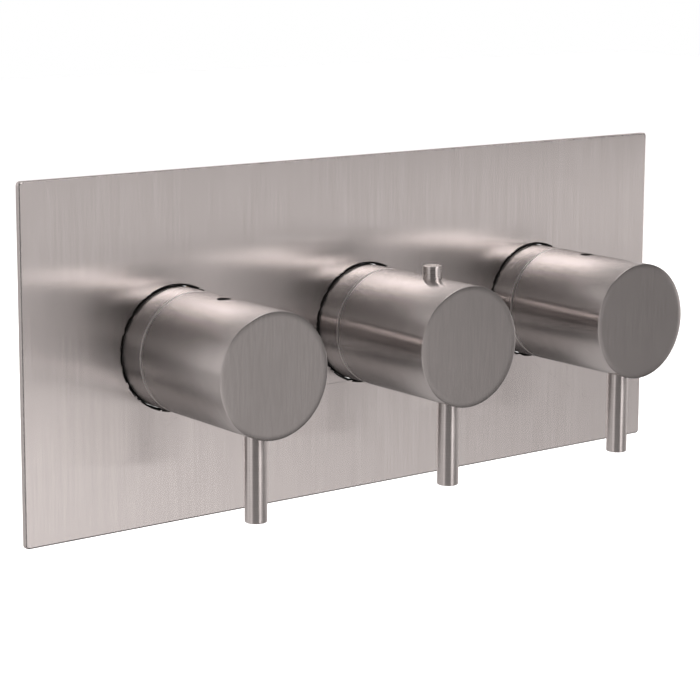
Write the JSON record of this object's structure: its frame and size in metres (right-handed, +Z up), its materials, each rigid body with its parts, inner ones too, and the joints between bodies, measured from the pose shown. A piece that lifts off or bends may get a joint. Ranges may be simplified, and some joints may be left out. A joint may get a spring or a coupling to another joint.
{
  "type": "thermostatic shower valve",
  "caption": "Concealed shower valve: a rectangular brushed-steel wall plate with lever knobs for flow either side of a thermostatic temperature knob that has an override button.",
  "frame": {"origin": "on the finished wall, behind the centre of the cover plate", "axes": "+X along the plate, to the right as seen from the room; +Y into the wall; +Z up"},
  "size_m": [0.3, 0.125, 0.13],
  "materials": {
    "brushed_steel": "satin",
    "cast_brass": "matte",
    "turned_brass": "satin",
    "foam": "matte",
    "seal_rubber": "satin",
    "disc_ceramic": "gloss",
    "spring_steel": "polished",
    "black_steel": "matte",
    "moulded_plastic": "satin"
  },
  "bodies": {
    "valve": {"cover_plate": "brushed_steel", "plate_gasket": "foam", "valve_body": "cast_brass", "gallery_plugs": "turned_brass", "left_sleeve": "brushed_steel", "temperature_sleeve": "brushed_steel", "right_sleeve": "brushed_steel", "stop_ring": "moulded_plastic", "thermostat_housing": "moulded_plastic", "thermostat_orings": "seal_rubber", "thermostat_ring_nut": "turned_brass", "thermostat_base": "moulded_plastic", "return_spring": "spring_steel", "left_flow_housing": "turned_brass", "left_flow_orings": "seal_rubber", "left_fixed_disc": "disc_ceramic", "left_seat_seal": "seal_rubber", "right_flow_housing": "turned_brass", "right_flow_orings": "seal_rubber", "right_fixed_disc": "disc_ceramic", "right_seat_seal": "seal_rubber", "hot_strainer": "moulded_plastic", "hot_check_body": "moulded_plastic", "hot_check_spring": "spring_steel", "cold_strainer": "moulded_plastic", "cold_check_body": "moulded_plastic", "cold_check_spring": "spring_steel"},
    "left_flow": {"left_flow_knob": "brushed_steel", "left_lever": "brushed_steel", "left_grub_screw": "black_steel", "left_hub": "turned_brass", "left_flow_spindle": "turned_brass", "left_moving_disc": "disc_ceramic"},
    "right_flow": {"right_flow_knob": "brushed_steel", "right_lever": "brushed_steel", "right_grub_screw": "black_steel", "right_hub": "turned_brass", "right_flow_spindle": "turned_brass", "right_moving_disc": "disc_ceramic"},
    "temperature": {"temperature_knob": "brushed_steel", "temperature_lever": "brushed_steel", "temperature_grub_screw": "black_steel", "temperature_hub": "turned_brass", "thermostat_spindle": "turned_brass", "override_spring": "spring_steel"},
    "override": {"override_button": "brushed_steel", "override_catch": "turned_brass"},
    "thermostat_slide": {"carriage": "moulded_plastic", "overload_spring": "spring_steel", "pressure_plate": "moulded_plastic", "wax_piston": "spring_steel", "wax_element": "turned_brass", "shuttle": "moulded_plastic"},
    "hot_check": {"hot_check_poppet": "moulded_plastic"},
    "cold_check": {"cold_check_poppet": "moulded_plastic"}
  },
  "joints": [
    {"name": "left_flow_turn", "type": "hinge", "parent": "valve", "child": "left_flow", "pos_m": [-0.087, 0, 0], "axis": [0, -1, 0], "range_deg": [-90, 0]},
    {"name": "right_flow_turn", "type": "hinge", "parent": "valve", "child": "right_flow", "pos_m": [0.087, 0, 0], "axis": [0, -1, 0], "range_deg": [0, 90]},
    {"name": "temperature_turn", "type": "hinge", "parent": "valve", "child": "temperature", "pos_m": [0, 0, 0], "axis": [0, -1, 0], "range_deg": [-150, 0]},
    {"name": "override_press", "type": "slide", "parent": "temperature", "child": "override", "axis": [0, 0, -1], "range_m": [0, 0.0025], "stiffness_N_per_m": 800, "springref_m": -0.002, "deforming": ["override_spring"]},
    {"name": "thermostat_shift", "type": "slide", "parent": "valve", "child": "thermostat_slide", "axis": [0, 1, 0], "range_m": [0, 0.0017], "deforming": ["return_spring"]},
    {"name": "hot_check_lift", "type": "slide", "parent": "valve", "child": "hot_check", "axis": [0, 0, 1], "range_m": [0, 0.0025], "stiffness_N_per_m": 60, "springref_m": -0.002, "deforming": ["hot_check_spring"]},
    {"name": "cold_check_lift", "type": "slide", "parent": "valve", "child": "cold_check", "axis": [0, 0, 1], "range_m": [0, 0.0025], "stiffness_N_per_m": 60, "springref_m": -0.002, "deforming": ["cold_check_spring"]}
  ],
  "couplings": [
    {"joint": "thermostat_shift", "follows": "temperature_turn", "m_per_rad": -0.00063662}
  ]
}
